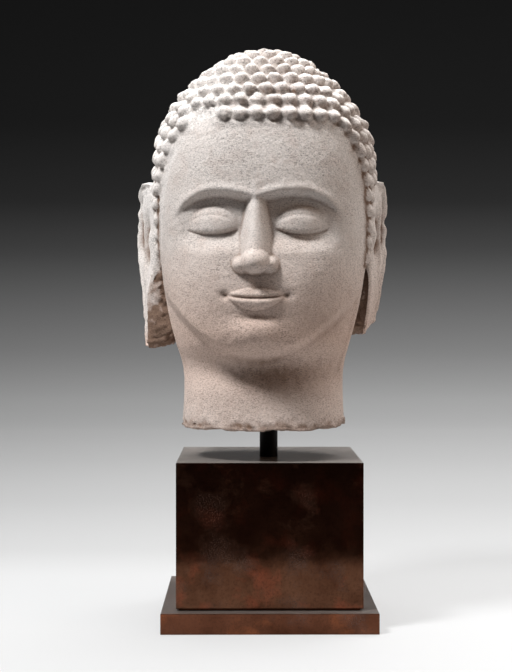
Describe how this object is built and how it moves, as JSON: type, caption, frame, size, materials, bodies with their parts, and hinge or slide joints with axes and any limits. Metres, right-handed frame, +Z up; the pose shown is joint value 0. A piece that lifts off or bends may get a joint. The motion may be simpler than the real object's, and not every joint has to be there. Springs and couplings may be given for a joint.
{
  "type": "stone buddha head",
  "caption": "Over-life-size carved stone Buddha head with rows of snail-shell curls and long ear lobes, broken off at the neck, held on a dark rod above a stepped metal plinth.",
  "frame": {"origin": "centre of the underside of the plinth's bottom plate, on the surface it stands on", "axes": "+Z up the rod to the crown of the head, -Y the way the face looks, +X to the statue's own left"},
  "size_m": [0.2795, 0.279, 0.605],
  "materials": {
    "stone": "matt, fine-grained grey-beige sandstone, weathered",
    "black_steel": "satin black",
    "plinth_bronze": "glossy mottled dark red-brown patina"
  },
  "bodies": {
    "root": {"buddha_head": "stone", "mount_rod": "black_steel", "plinth_block": "plinth_bronze", "plinth_plate": "plinth_bronze"}
  },
  "joints": []
}
